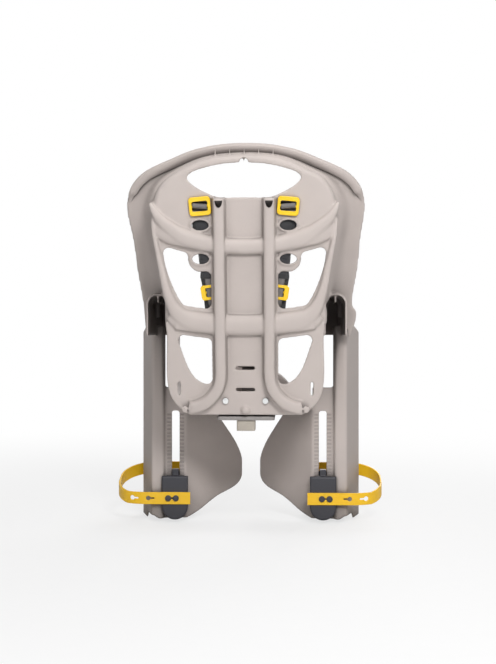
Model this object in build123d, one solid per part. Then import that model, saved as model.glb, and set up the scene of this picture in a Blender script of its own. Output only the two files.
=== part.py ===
from build123d import *
import os
from math import cos, radians, sin

# Rear child seat for a bicycle. Millimetres, +Z up, the back of the seat faces -Y.
# The origin is the middle of the fixing plate's underside, where the seat is bolted down.

# Driving dimensions of the moulded shell
wall = 4.0
rim_top = 478.0
rim_half_width = 207.0
wall_top = 456.0
wall_half_width = 158.0
back_foot_y = -68.8
back_slope = 0.2
rim_foot_y = 135.8
rim_slope = 0.55
back_round = 12.0
hip_cut_z = 147.0
tongue_width = 22.0

# Lattice of the backrest
column_half_width = 58.0
post_width = 19.0
opening_depth = 40.0
rib_width = 23.0
rib_height = 12.0
rib_wall = 3.2
rib_round = 7.5
rib_offset = 42.5
rib_top_z = 384.0
rib_bend_z = 83.0
rib_bend_radius = 60.0
rib_foot_reach = 45.0
cross_height = 8.0
cross_round = 5.0
cross_reach = 122.0
upper_cross_low_z = 287.0
upper_cross_low_radius = 420.0
upper_cross_high_z = 315.0
upper_cross_high_radius = 300.0
lower_cross_low_z = 149.0
lower_cross_low_radius = 667.0
lower_cross_high_z = 186.0
lower_cross_high_radius = 600.0
window_margin = 7.0
window_round = 9.0

# Handle hole and strap holes
handle_half_width = 96.0
handle_low_z = 384.0
handle_high_z = 441.0
handle_notch_radius = 7.0
strap_slot_x = 75.0
strap_slot_z = 369.5
strap_slot_width = 29.0
strap_slot_height = 14.0
strap_hole_half_width = 14.5
strap_hole_half_height = 8.5
strap_hole_rim = 3.0
middle_hole_z = 337.5
low_hole_z = 281.0
low_hole_tab = 22.0
belt_slot_width = 34.0
belt_slot_height = 5.0
belt_slot_zs = (93.0, 55.0)
post_slot_x = 116.0
post_slot_z = 57.0
post_slot_width = 4.0
post_slot_height = 25.0
panel_screw_x = 35.0
panel_screw_z = 35.0
rear_bump_radius = 9.0

# Seat pan and pommel
pan_bottom_z = 10.0
pan_half_width = 138.5
pan_top_z = 172.0
pan_front_y = 98.0
pan_nose_y = 163.0
pan_nose_half_width = 60.0
pommel_half_width = 92.0
pommel_height = 84.0
pommel_depth = 40.0

# Arm tunnels
arm_x = 159.0
arm_half_width = 21.0
arm_top_z = 226.0
arm_foot_z = 150.0
arm_rear_y = -40.0
arm_front_y = 182.0
arm_web = 4.0

# Leg guards
guard_top_z = 169.0
guard_bottom_z = -201.0
guard_floor_y = 95.0
guard_outer_x = 215.0
guard_outer_y = 185.0
guard_ridge_out_x = 186.0
guard_ridge_in_x = 164.0
guard_ridge_height = 9.0
guard_groove_x = 160.0
guard_inner_x = 121.0
guard_corner = 12.0
lobe_x = 17.0
lobe_y = 210.0
lobe_z = -124.0
side_gap_z = 51.0
slot_x = 140.8
slot_width = 14.0
slot_top_z = 5.0
slot_bottom_z = -190.0
tooth_pitch = 7.0
tooth_depth = 1.2
tooth_width = 10.0

# Footrests and their straps
foot_travel = 110.0
foot_clearance = 0.5
foot_half_width = 25.0
foot_top_z = -118.0
foot_bottom_z = -201.0
foot_cover = 8.0
foot_tongue_top_z = -106.0
sole_front_y = 205.0
sole_thickness = 8.0
sole_z = -197.0
stud_xs = (138.3, 152.8)
stud_z = -159.5
stud_radius = 4.0
rivet_y = 145.0
rivet_z = -141.0
rivet_radius = 3.5
upright_x = 117.5
upright_rear_y = 115.0
upright_front_y = 170.0
upright_top_z = -100.0
stud_head_radius = 6.0
stud_head = 2.5
strap_thick = 3.0
strap_height = 23.0
strap_gap = 0.3
strap_inner_x = 111.0
strap_outer_x = 256.0
strap_front_y = 222.0
strap_rise = 42.0
keyhole_xs = (191.0, 222.0)

# Harness
webbing_width = 25.0
webbing_thick = 1.6
webbing_gap = 0.4
slider_width = 37.0
slider_height = 32.0
slider_window_width = 27.0
slider_window_height = 17.0
slider_thick = 5.0
pad_width = 42.0
pad_thick = 10.0
pad_top_z = 352.0
pad_bottom_z = 244.0
slider_tilt = 5.0
slider_bar_radius = 2.0
harness_offset = 9.6
adjuster_x = 50.0
tongue_x = 13.5
tongue_head = 15.0
tongue_gap = 1.0
adjuster_z = 224.0
adjuster_width = 44.0
adjuster_height = 26.0
adjuster_thick = 6.0
buckle_y = 80.0
buckle_z = 118.0
buckle_width = 46.0
buckle_height = 58.0
buckle_thick = 16.0
button_width = 20.0
button_height = 22.0
button_travel = 3.0
button_clearance = 0.5

# Fixing plate under the pan
plate_half_width = 51.0
plate_length = 130.0
plate_thick = 7.0
boss_radius = 9.0
mount_hole_radius = 3.3
mount_hole_dx = 76.0
mount_hole_dy = 96.0
screw_radius = 2.5
screw_head_radius = 5.0
screw_head = 3.0
plate_screw_dx = 44.0
plate_screw_dy = 60.0
block_half_width = 16.3
block_height = 19.0
block_length = 38.0

# Rim and wall outlines as shares of their half width and top, from the top down one side
RIM_SHARES = [(0, 1), (0.38, 0.983), (0.62, 0.948), (0.845, 0.906), (0.995, 0.826),
              (0.985, 0.69), (0.961, 0.556), (0.932, 0.429), (0.903, 0.293), (0.7, 0.18), (0, 0.14)]
WALL_SHARES = [(0, 1), (0.475, 0.98), (0.747, 0.936), (0.937, 0.877), (1, 0.798),
               (0.962, 0.667), (0.905, 0.579), (0.88, 0.461), (0.867, 0.307), (0.74, 0.2), (0, 0.16)]
UPPER_WINDOW_SHARES = [(0.887, 0.672), (0.88, 0.64), (0.867, 0.605), (0.815, 0.543), (0.725, 0.472),
                       (0.6, 0.415)]
LOWER_WINDOW_SHARES = [(0.775, 0.36), (0.756, 0.33), (0.713, 0.286), (0.656, 0.228), (0.578, 0.176),
                       (0.519, 0.156), (0.44, 0.144), (0.36, 0.142)]
SHOULDER_POINT = 3
HIP_POINT = 8
PAN_SHARES = [(1, 1), (0.985, 0.74), (0.99, 0.37), (0.96, 0.23), (0.87, 0.1), (0.7, 0)]


def back_y(z):
    """Rear face of the backrest at a height."""
    return back_foot_y - back_slope * z


def rim_y(z):
    """Rear face of the rim at a height."""
    return rim_foot_y - rim_slope * z


def prism_y(face, y0, y1):
    """A face drawn in X and Z, extruded from y0 to y1."""
    return extrude(Plane.XZ.offset(-y1) * face, amount=y1 - y0)


def prism_x(face, x0, x1):
    """A face drawn in Y and Z, extruded from x0 to x1."""
    return extrude(Plane.YZ.offset(x0) * face, amount=x1 - x0)


def prism_z(face, z0, z1):
    """A face drawn in X and Y, extruded from z0 to z1."""
    return extrude(Plane.XY.offset(z0) * face, amount=z1 - z0)


def block(x0, x1, y0, y1, z0, z1):
    """A box between two corners."""
    return Pos((x0 + x1) / 2, (y0 + y1) / 2, (z0 + z1) / 2) * Box(x1 - x0, y1 - y0, z1 - z0)


def back_slab(rear, front, z0, z1):
    """The layer between two depths measured from the backrest's rear face."""
    side = Polyline(
        (back_y(z0) + rear, z0), (back_y(z1) + rear, z1),
        (back_y(z1) + front, z1), (back_y(z0) + front, z0), close=True)
    return prism_x(make_face(side), -rim_half_width * 1.2, rim_half_width * 1.2)


def mirrored(shape):
    """The same piece on the other side of the seat."""
    return mirror(shape, about=Plane.YZ)


# Backrest tray: wall and flared rim

def share_points(shares, half_width, top, inset=0.0):
    """Outline points on one side, pulled towards the middle by the inset."""
    points = []
    for sx, sz in shares:
        x = sx * half_width
        z = sz * top
        x_pull = inset * min(1.0, sx * 1.4)
        z_pull = inset * max(0.0, (sz - 0.8) / 0.2)
        points.append((max(0.0, x - x_pull), z - z_pull))
    return points


def tray_wire(share, inset, step, depth_share):
    """A closed loop between the wall line (share 0) and the rim line (share 1)."""
    walls = share_points(WALL_SHARES, wall_half_width, wall_top, inset)
    rims = share_points(RIM_SHARES, rim_half_width, rim_top, inset)
    side = []
    for (wx, wz), (rx, rz) in zip(walls, rims):
        x = wx + share * (rx - wx)
        z = wz + share * (rz - wz)
        depth = rim_y(z) - back_y(z) - back_round
        side.append(Vector(x, back_y(z) + step + depth * depth_share, z))
    ring = side + [Vector(-p.X, p.Y, p.Z) for p in reversed(side[1:-1])]
    count = len(ring)
    corners = [SHOULDER_POINT, HIP_POINT, count - HIP_POINT, count - SHOULDER_POINT, count + SHOULDER_POINT]
    edges = []
    for first, last in zip(corners, corners[1:]):
        points = [ring[i % count] for i in range(first, last + 1)]
        ends = [ring[(i + 1) % count] - ring[(i - 1) % count] for i in (first, last)]
        edges.append(Edge.make_spline(points, tangents=ends))
    return Wire(edges)


def tray_solid(skin):
    """The filled tray, its surface moved inwards by the skin."""
    loops = [tray_wire(0, back_round, skin, 0)]
    for turn in (45, 90):
        angle = radians(turn)
        inset = back_round * (1 - sin(angle)) + skin * sin(angle)
        step = back_round * (1 - cos(angle)) + skin * cos(angle)
        loops.append(tray_wire(0, inset, step, 0))
    for turn in (28, 50, 70, 90):
        angle = radians(turn)
        loops.append(tray_wire(1 - cos(angle), skin * cos(angle), back_round + skin * sin(angle), sin(angle)))
    if skin == 0:
        loops.append(tray_wire(1, 0, back_round + wall, 1))
    else:
        loops.append(tray_wire(1, 0, back_round + wall + skin, 1))
    return Solid.make_loft(loops)


def make_tray():
    """Backrest with its wings and flared rim, cut off at the hips."""
    tray = tray_solid(0) - tray_solid(wall)
    far = rim_half_width * 1.5
    outer = arm_x + arm_half_width - wall
    inner = arm_x - arm_half_width + wall
    spring_z = arm_top_z - arm_half_width
    hip = Polyline(
        (far, 0), (far, hip_cut_z - wall), (rim_half_width * 0.9, hip_cut_z), (outer, spring_z),
        (arm_x + arm_half_width / 3, arm_top_z - wall), (arm_x - arm_half_width / 3, arm_top_z - wall),
        (inner, spring_z), (inner, pan_top_z - 1), (-wall, pan_top_z - 1), (-wall, 0), close=True)
    cut = prism_y(make_face(hip), -far, far)
    tray -= cut
    tray -= mirrored(cut)
    for opening in upper_openings():
        tray -= opening
    return tray


# Seat pan

def pan_face(inset):
    """The pan seen from behind: flat bottom, curved corners, upright sides."""
    half = pan_half_width - inset
    height = pan_top_z - pan_bottom_z
    right = [(sx * half, pan_bottom_z + inset + sz * (height - inset)) for sx, sz in PAN_SHARES]
    left = [(-x, z) for x, z in reversed(right)]
    bottom_z = pan_bottom_z + inset
    corner = Spline(*right)
    foot = Line(right[-1], left[0])
    other = Spline(*left)
    lid = Line(left[-1], right[0])
    return make_face(Curve() + [corner, foot, other, lid])


def make_pan():
    """Bucket between the backrest's foot and the legs, with its floor and pommel."""
    far = pan_half_width * 2
    body = prism_y(pan_face(0), -far / 2, pan_front_y)
    hollow = prism_y(pan_face(wall), -far / 2, pan_front_y + wall)
    behind = back_slab(-far, 0, -far, far)
    skin = back_slab(-far, wall, -far, far)
    pan = (body - behind) - (hollow - skin)
    for opening in lower_openings():
        pan -= opening
    front = Polyline(
        (-guard_inner_x, pan_front_y - wall), (guard_inner_x, pan_front_y - wall),
        (guard_inner_x, pan_front_y), (pan_nose_half_width, pan_nose_y),
        (-pan_nose_half_width, pan_nose_y), (-guard_inner_x, pan_front_y), close=True)
    floor = prism_z(make_face(front), pan_bottom_z, pan_bottom_z + wall)
    keep = block(-far, far, -far, pan_nose_y, pan_bottom_z, far)
    inside = block(-far, far, -far, pan_nose_y - wall, -far, far)
    return pan + floor + (pommel_dome(0) & keep) - (pommel_dome(wall) & inside)


def pommel_dome(inset):
    """Hump at the front of the pan, between the legs."""
    place = Pos(0, pan_nose_y - pommel_depth / 2, pan_bottom_z)
    return place * scale(Sphere(1), by=(pommel_half_width - inset, pommel_depth - inset, pommel_height - inset))


# Arm tunnels

def arch_face(inset, foot_z):
    """Upright arch seen from behind."""
    half = arm_half_width - inset
    spring_z = arm_top_z - arm_half_width
    body = Pos(arm_x, (spring_z + foot_z) / 2) * Rectangle(2 * half, spring_z - foot_z)
    return body + Pos(arm_x, spring_z) * Circle(half)


def make_arm():
    """Hollow armrest from the wing to the leg guard, closed at its front."""
    shell = prism_y(arch_face(0, arm_foot_z), arm_rear_y, arm_front_y)
    shell -= prism_y(arch_face(wall, arm_foot_z - wall), arm_rear_y - wall, arm_front_y - wall)
    ring_y = (arm_rear_y + arm_front_y) / 2
    ring = arch_face(wall / 2, arm_top_z - 2 * arm_half_width) - arch_face(wall * 3, arm_foot_z - wall)
    shell += prism_y(ring, ring_y, ring_y + wall)
    spring_z = arm_top_z - arm_half_width
    web = block(arm_x - arm_web / 2, arm_x + arm_web / 2, arm_rear_y + wall, ring_y,
                spring_z + wall, arm_top_z - wall / 2)
    return shell + web


# Leg guards

def guard_section():
    """Level section through one leg guard: flange, ridge, slotted floor and inner panel."""
    ridge_y = guard_floor_y - guard_ridge_height
    path = FilletPolyline(
        (guard_outer_x, guard_outer_y), (guard_ridge_out_x, ridge_y), (guard_ridge_in_x, ridge_y),
        (guard_groove_x, guard_floor_y), (guard_inner_x, guard_floor_y), (lobe_x, lobe_y),
        radius=[7, 6, 2, 12])
    front = offset(path, amount=wall, side=Side.RIGHT)
    return make_face(front)


def guard_outline():
    """The leg guard seen from behind: straight outside, lobe towards the middle."""
    bottom = guard_bottom_z
    lobe = Spline(
        (guard_inner_x - 2, bottom + 1), (guard_inner_x - 27, bottom + 14),
        (guard_inner_x - 58, bottom + 35), (lobe_x + 6, bottom + 57), (lobe_x, lobe_z),
        (lobe_x + 25.5, lobe_z + 82), (pan_nose_half_width + 15, pan_bottom_z + wall))
    edge = Polyline(
        (pan_nose_half_width + 15, pan_bottom_z + wall), (guard_inner_x, pan_bottom_z + wall),
        (guard_inner_x, side_gap_z), (guard_groove_x, side_gap_z), (guard_groove_x, guard_top_z),
        (guard_outer_x - guard_corner, guard_top_z), (guard_outer_x + wall, guard_top_z - guard_corner - wall),
        (guard_outer_x + wall, bottom - 5),
        (guard_ridge_out_x + 14, bottom - 5), (guard_ridge_out_x + 11, bottom + 7),
        (guard_ridge_out_x - 3, bottom + 7), (guard_ridge_in_x + 8, bottom),
        (guard_inner_x - 2, bottom + 1))
    return make_face(Curve() + [lobe, edge])


def make_guard():
    """One leg guard with its adjusting slot and toothed strips."""
    guard = prism_z(guard_section(), guard_bottom_z - wall * 2, guard_top_z)
    guard &= prism_y(guard_outline(), guard_floor_y - 3 * guard_ridge_height, lobe_y + wall * 2)
    slot = Pos(slot_x, (slot_top_z + slot_bottom_z) / 2) * Rectangle(slot_width, slot_top_z - slot_bottom_z)
    guard -= prism_y(slot, guard_floor_y - wall, guard_floor_y + wall * 2)
    first = slot_bottom_z + foot_travel / 2
    count = int((slot_top_z - first) / tooth_pitch)
    notches = []
    for side in (-1, 1):
        x = slot_x + side * (slot_width / 2 + tooth_width / 2)
        for i in range(count):
            z = first + i * tooth_pitch
            notches.append(block(x - tooth_width / 2 + 1, x + tooth_width / 2 - 1,
                                 guard_floor_y - wall, guard_floor_y + tooth_depth,
                                 z, z + tooth_pitch / 2))
    return guard - Compound(children=notches)


# Ribs and openings of the backrest

def rib_face(inset):
    """One upright rib seen from behind, turning outwards at its foot."""
    half = rib_width / 2 - inset
    straight = Pos(rib_offset, (rib_top_z + rib_bend_z) / 2) * Rectangle(2 * half, rib_top_z - rib_bend_z)
    middle_x = rib_offset + rib_bend_radius
    bend = Circle(rib_bend_radius + half) - Circle(rib_bend_radius - half)
    corner = Pos(-rib_bend_radius, -rib_bend_radius) * Rectangle(
        2 * (rib_foot_reach + half), 2 * rib_bend_radius)
    return straight + Pos(middle_x, rib_bend_z) * (bend & corner)


def cross_face(low_z, low_radius, high_z, high_radius, reach):
    """A cross band between two arcs that sag in the middle."""
    below = Pos(0, low_z + low_radius) * Circle(low_radius)
    above = Pos(0, high_z + high_radius) * Circle(high_radius)
    ends = Pos(0, (low_z + high_z) / 2) * Rectangle(2 * reach, 4 * (high_z - low_z))
    return (below - above) & ends


def raised(face, height, radius):
    """A band standing out behind the backrest, with rounded shoulders."""
    far = rim_half_width
    solid = prism_y(face, -far, far) & back_slab(-height, wall / 2, -far / 4, rim_top)

    def at_the_back(edge):
        middle = edge.position_at(0.5)
        return abs(middle.Y - (back_y(middle.Z) - height)) < 0.01

    return fillet(solid.edges().filter_by(at_the_back), radius)


def make_ribs():
    """Upright ribs and the two cross bands."""
    right = raised(rib_face(0), rib_height, rib_round)
    ribs = right + mirrored(right)
    upper = cross_face(upper_cross_low_z, upper_cross_low_radius,
                       upper_cross_high_z, upper_cross_high_radius, cross_reach)
    lower = cross_face(lower_cross_low_z, lower_cross_low_radius,
                       lower_cross_high_z, lower_cross_high_radius, cross_reach)
    return ribs + raised(upper, cross_height, cross_round) + raised(lower, cross_height, cross_round)


def rib_hollows():
    """The channels inside the upright ribs, open towards the front and at the top."""
    far = rim_half_width
    right = prism_y(rib_face(rib_wall), -far, far)
    right += prism_y(Pos(rib_offset, rib_top_z) * Rectangle(rib_width - 2 * rib_wall, 2 * rib_wall), -far, far)
    channel = right & back_slab(-rib_height + rib_wall, 0, pan_bottom_z + wall, rib_top_z + wall)
    return channel + mirrored(channel)


def window_side(shares):
    """Region between the middle of the seat and a window's outer edge."""
    side = [(sx * wall_half_width, sz * wall_top) for sx, sz in shares]
    closing = Polyline(side[-1], (0, side[-1][1]), (0, side[0][1]), side[0])
    return make_face(Curve() + [Spline(*side), closing])


def windows():
    """See-through windows beside the middle column: the lower one, then the upper one."""
    far = rim_half_width
    front = back_foot_y + opening_depth
    column = Rectangle(2 * column_half_width, 4 * rim_top)
    upper_band = cross_face(upper_cross_low_z - window_margin, upper_cross_low_radius,
                            rim_top, upper_cross_high_radius, wall_half_width)
    lower_band = cross_face(lower_cross_low_z - window_margin, lower_cross_low_radius,
                            lower_cross_high_z + window_margin, lower_cross_high_radius, wall_half_width)
    tab = Pos(strap_slot_x, low_hole_z) * Circle(low_hole_tab)
    lower = window_side(LOWER_WINDOW_SHARES) - column - lower_band
    upper = window_side(UPPER_WINDOW_SHARES) - column - upper_band - lower_band - tab
    prisms = [prism_y(max(part.faces(), key=lambda face: face.area), -far, front) for part in (lower, upper)]
    return [fillet(prism.edges().filter_by(Axis.Y), window_round) for prism in prisms]


def both_sides(shapes):
    """The shapes and their mirror images."""
    return shapes + [mirrored(shape) for shape in shapes]


def upper_openings():
    """Upper windows, hand hole, strap slots and strap holes."""
    far = rim_half_width
    front = back_foot_y + opening_depth
    slot = Pos(strap_slot_x, strap_slot_z) * RectangleRounded(strap_slot_width, strap_slot_height, 3)
    cuts = [windows()[1], prism_y(slot, -far, front)]
    for z in (middle_hole_z, low_hole_z):
        hole = Pos(strap_slot_x, z) * Ellipse(strap_hole_half_width, strap_hole_half_height)
        cuts.append(prism_y(hole, -far, front))
    return both_sides(cuts) + [prism_y(make_handle_face(), -far, front)]


def lower_openings():
    """Lower windows, belt slots, post slots and screw holes."""
    far = rim_half_width
    front = back_foot_y + opening_depth
    post = Pos(post_slot_x, post_slot_z) * SlotOverall(post_slot_height, post_slot_width, rotation=90)
    screw = Pos(panel_screw_x, panel_screw_z) * Circle(screw_radius + 0.2)
    cuts = both_sides([windows()[0], prism_y(post, -far, front), prism_y(screw, -far, front)])
    for z in belt_slot_zs:
        cuts.append(prism_y(Pos(0, z) * SlotOverall(belt_slot_width, belt_slot_height), -far, front))
    return cuts


def make_handle_face():
    """Oval hand hole under the top rim, with its small notch."""
    middle_z = handle_high_z - 24
    right = Spline((0, handle_high_z), (handle_half_width * 0.6, handle_high_z - 6),
                   (handle_half_width, middle_z), (handle_half_width * 0.62, handle_low_z + 6),
                   (0, handle_low_z), tangents=[(1, 0), (-1, 0)])
    face = make_face(Curve() + [right, Line((0, handle_low_z), (0, handle_high_z))])
    face += mirror(face, about=Plane.YZ)
    return face + Pos(0, handle_high_z + 1) * Circle(handle_notch_radius)


def strap_hole_rims():
    """Raised collars round the four oval strap holes."""
    collars = []
    for side in (-1, 1):
        for z in (middle_hole_z, low_hole_z):
            ring = Ellipse(strap_hole_half_width + strap_hole_rim, strap_hole_half_height + strap_hole_rim)
            ring -= Ellipse(strap_hole_half_width, strap_hole_half_height)
            collar = prism_y(Pos(side * strap_slot_x, z) * ring, -rim_half_width, rim_half_width / 3)
            collars.append(collar & back_slab(-strap_hole_rim, wall / 2, 0, rim_top))
    return collars


# Fixing plate and what holds it

def plate_bosses():
    """Short bosses under the pan that the fixing plate seats on."""
    bosses = []
    for x in (-plate_screw_dx / 2, plate_screw_dx / 2):
        for y in (-plate_screw_dy / 2, plate_screw_dy / 2):
            bosses.append(Pos(x, y, 0) * prism_z(Circle(boss_radius), plate_thick, pan_bottom_z + wall / 2))
    return bosses


def plate_screw_places():
    """Middles of the four screws that hold the plate."""
    places = []
    for x in (-plate_screw_dx / 2, plate_screw_dx / 2):
        for y in (-plate_screw_dy / 2, plate_screw_dy / 2):
            places.append((x, y))
    return places


def make_plate():
    """Fixing plate with the four mounting holes."""
    plate = prism_z(RectangleRounded(2 * plate_half_width, plate_length, 8), 0, plate_thick)
    for x in (-mount_hole_dx / 2, mount_hole_dx / 2):
        for y in (-mount_hole_dy / 2, mount_hole_dy / 2):
            plate -= Pos(x, y, plate_thick / 2) * Cylinder(mount_hole_radius, plate_thick * 2)
    for x, y in plate_screw_places():
        plate -= Pos(x, y, plate_thick / 2) * Cylinder(screw_radius + 0.2, plate_thick * 2)
        plate -= Pos(x, y, screw_head / 2) * Cylinder(screw_head_radius + 0.3, screw_head)
    return plate


def make_plate_screws():
    """Four screws from below the plate into the pan's bosses."""
    screws = []
    for x, y in plate_screw_places():
        head = prism_z(Pos(x, y) * Circle(screw_head_radius), 0.3, screw_head)
        shank = prism_z(Pos(x, y) * Circle(screw_radius), screw_head, pan_bottom_z + wall)
        socket = prism_z(Pos(x, y) * RegularPolygon(2.2, 6), 0, screw_head - 1)
        screws.append(head + shank - socket)
    return screws


def make_block():
    """Locating block under the rear of the plate."""
    y0 = -plate_length / 2 + 4
    body = block(-block_half_width, block_half_width, y0, y0 + block_length, -block_height, 0)
    body = fillet(body.edges().filter_by(Axis.Z), 3)
    groove = Pos(0, y0 + block_length / 2, -block_height) * Rot(0, 90, 0) * Cylinder(5, 4 * block_half_width)
    return body - groove


def make_panel_screws():
    """Two screws low on the back of the seat."""
    screws = []
    for side in (-1, 1):
        y = back_y(panel_screw_z)
        shank = prism_y(Pos(side * panel_screw_x, panel_screw_z) * Circle(screw_radius), y - 1, y + wall + 8)
        head = prism_y(Pos(side * panel_screw_x, panel_screw_z) * Circle(screw_head_radius), y - 4, y - 1)
        screws.append(shank + head)
    return screws


# Whole shell

def rear_bump():
    """Small half-round boss at the foot of the back."""
    z = pan_bottom_z + rear_bump_radius
    return Pos(0, back_y(z) + wall / 2, z) * Sphere(rear_bump_radius)


def crotch_slot(clearance):
    """Where the crotch strap passes."""
    return Pos(0, buckle_y) * Rectangle(webbing_width + 2 * clearance, webbing_thick + 2 * clearance)


def make_shell():
    """The one-piece moulding."""
    guard = make_guard()
    arm = make_arm()
    shell = make_tray() + make_pan() + rear_bump()
    shell += make_ribs()
    for collar in strap_hole_rims():
        shell += collar
    shell -= rib_hollows()
    for piece in both_sides([arm, guard]):
        shell += piece
    for boss in plate_bosses():
        shell += boss
    for x, y in plate_screw_places():
        shell -= Pos(x, y, pan_bottom_z) * Cylinder(screw_radius, 4 * wall)
    return shell - prism_z(crotch_slot(1), 0, pan_bottom_z + 2 * wall)


# Footrests and foot straps

def make_footrest():
    """One footrest: cover and guide behind the slot, sole and ankle plate in front of it."""
    ridge_y = guard_floor_y - guard_ridge_height
    cover_y = ridge_y - foot_clearance - foot_cover
    middle_z = foot_bottom_z + foot_half_width
    cover = Pos(slot_x, middle_z) * Circle(foot_half_width)
    cover += Pos(slot_x, (middle_z + foot_top_z) / 2) * Rectangle(2 * foot_half_width, foot_top_z - middle_z)
    foot = prism_y(cover, cover_y, ridge_y - foot_clearance)
    foot = fillet(foot.faces().sort_by(Axis.Y)[0].edges(), 3)
    front = guard_floor_y + wall + foot_clearance
    foot += block(slot_x - 17, slot_x + 17, ridge_y - 1, guard_floor_y - foot_clearance,
                  foot_bottom_z + foot_half_width / 2, foot_top_z)
    foot += block(slot_x - slot_width / 2 + 1, slot_x + slot_width / 2 - 1, ridge_y + 2, front + 1,
                  slot_bottom_z + 1, foot_tongue_top_z)
    foot += block(slot_x - 15, slot_x + 15, front, front + 5, sole_z, foot_tongue_top_z - 4)
    return foot + make_sole(front) + make_ankle_plate() + make_studs(cover_y)


def make_sole(front):
    """Foot plate that follows the trough, with three ribs on its top."""
    plan = Polyline(
        (slot_x - 12, front), (slot_x + 36, front), (slot_x + 59, sole_front_y),
        (slot_x - 39, sole_front_y), close=True)
    sole = prism_z(make_face(plan), sole_z, sole_z + sole_thickness)
    sole = fillet(sole.edges().filter_by(Axis.Z).sort_by(Axis.Y)[-2:], 16)
    for i in range(3):
        y = front + 30 + 18 * i
        sole += block(slot_x - 15, slot_x + 33, y, y + 5, sole_z + sole_thickness - 1, sole_z + sole_thickness + 2)
    return sole


def make_ankle_plate():
    """Upright beside the foot that holds the strap's inner end."""
    plate = block(upright_x, upright_x + wall, upright_rear_y, upright_front_y, sole_z, upright_top_z)
    plate = fillet(plate.edges().filter_by(Axis.X).sort_by(Axis.Z)[-2:], 14)
    neck = strap_thick + 2 * strap_gap
    stud = Rot(0, 90, 0) * Cylinder(rivet_radius, neck, align=(Align.CENTER, Align.CENTER, Align.MIN))
    head = Pos(neck, 0, 0) * Rot(0, 90, 0) * Cylinder(
        rivet_radius + 2, stud_head, align=(Align.CENTER, Align.CENTER, Align.MIN))
    return plate + Pos(upright_x + wall, rivet_y, rivet_z) * (stud + head)


def make_studs(cover_y):
    """Two headed studs that the strap's keyhole buttons over."""
    studs = []
    neck = strap_thick + 2 * strap_gap
    for x in stud_xs:
        studs.append(prism_y(Pos(x, stud_z) * Circle(stud_radius), cover_y - neck, cover_y + 1))
        studs.append(prism_y(Pos(x, stud_z) * Circle(stud_head_radius), cover_y - neck - stud_head, cover_y - neck))
    return studs


def make_foot_strap():
    """Soft strap round the outside of the leg guard, from the studs to the ankle plate."""
    rear_y = guard_floor_y - guard_ridge_height - foot_clearance - foot_cover - strap_gap
    inner_x = upright_x + wall + strap_gap
    path = FilletPolyline(
        (strap_inner_x, rear_y), (strap_outer_x - strap_thick, rear_y),
        (strap_outer_x - strap_thick, strap_front_y), (inner_x + strap_thick, strap_front_y),
        (inner_x + strap_thick, upright_rear_y + 3), radius=[60, 64, 20])
    band = make_face(offset(path, amount=strap_thick, side=Side.LEFT))
    low = stud_z - strap_height / 2
    rise_y = rear_y + 12
    side = Polyline(
        (rear_y - 2 * strap_thick, low), (rise_y, low), (strap_front_y + 2 * strap_thick, low + strap_rise),
        (strap_front_y + 2 * strap_thick, low + strap_rise + strap_height),
        (rise_y, low + strap_height), (rear_y - 2 * strap_thick, low + strap_height), close=True)
    strap = prism_z(band, low - strap_rise, low + 3 * strap_rise)
    strap &= prism_x(make_face(side), strap_inner_x - wall, strap_outer_x + wall)
    hole = stud_radius + strap_gap
    for x in stud_xs:
        strap -= prism_y(Pos(x, stud_z) * Circle(hole), rear_y - 2 * strap_thick, rear_y + 2)
    middle = sum(stud_xs) / 2
    strap -= prism_y(Pos(middle, stud_z) * Rectangle(stud_xs[1] - stud_xs[0], 3), rear_y - 2 * strap_thick, rear_y + 2)
    for x in keyhole_xs:
        keyhole = Pos(x, stud_z) * Circle(hole) + Pos(x - 7, stud_z) * Rectangle(10, 3)
        strap -= prism_y(keyhole, rear_y - 2 * strap_thick, rear_y + 30)
    rivet = Pos(inner_x, rivet_y, rivet_z) * Rot(0, 90, 0) * Cylinder(rivet_radius + strap_gap, 4 * strap_thick)
    return strap - rivet


# Harness

def back_frame(x, z, depth):
    """A plane on the backrest: its X is the seat's X, its Y runs up the back, its Z points forwards."""
    forwards = Vector(0, 1, back_slope)
    origin = Vector(x, back_y(z), z) + forwards.normalized() * depth
    return Plane(origin=origin, x_dir=(1, 0, 0), z_dir=forwards.normalized())


def strip(start, end, width, thick, forwards):
    """A flat strap between two points, its face turned forwards."""
    run = end - start
    middle = (start + end) * 0.5
    across = forwards.cross(run).normalized()
    frame = Plane(origin=middle, x_dir=across, z_dir=run.normalized())
    return frame * Box(width, thick, run.length)


def make_slider():
    """Loop behind the back that the shoulder strap turns round."""
    frame = RectangleRounded(slider_width, slider_height, 6) - RectangleRounded(
        slider_window_width, slider_window_height, 3)
    loop = extrude(frame, amount=slider_thick)
    loop = fillet(loop.faces().sort_by(Axis.Z)[0].outer_wire().edges(), 1.2)
    bar = Pos(0, 0, slider_thick / 2) * Rot(0, 90, 0) * Cylinder(slider_bar_radius, slider_window_width + 2)
    place = back_frame(strap_slot_x, strap_slot_z, -slider_thick - webbing_gap)
    return place * Rot(0, 0, slider_tilt) * (loop + bar)


def harness_point(x, z):
    """Middle of the shoulder strap in front of the backrest."""
    return back_frame(x, z, harness_offset).origin


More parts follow.
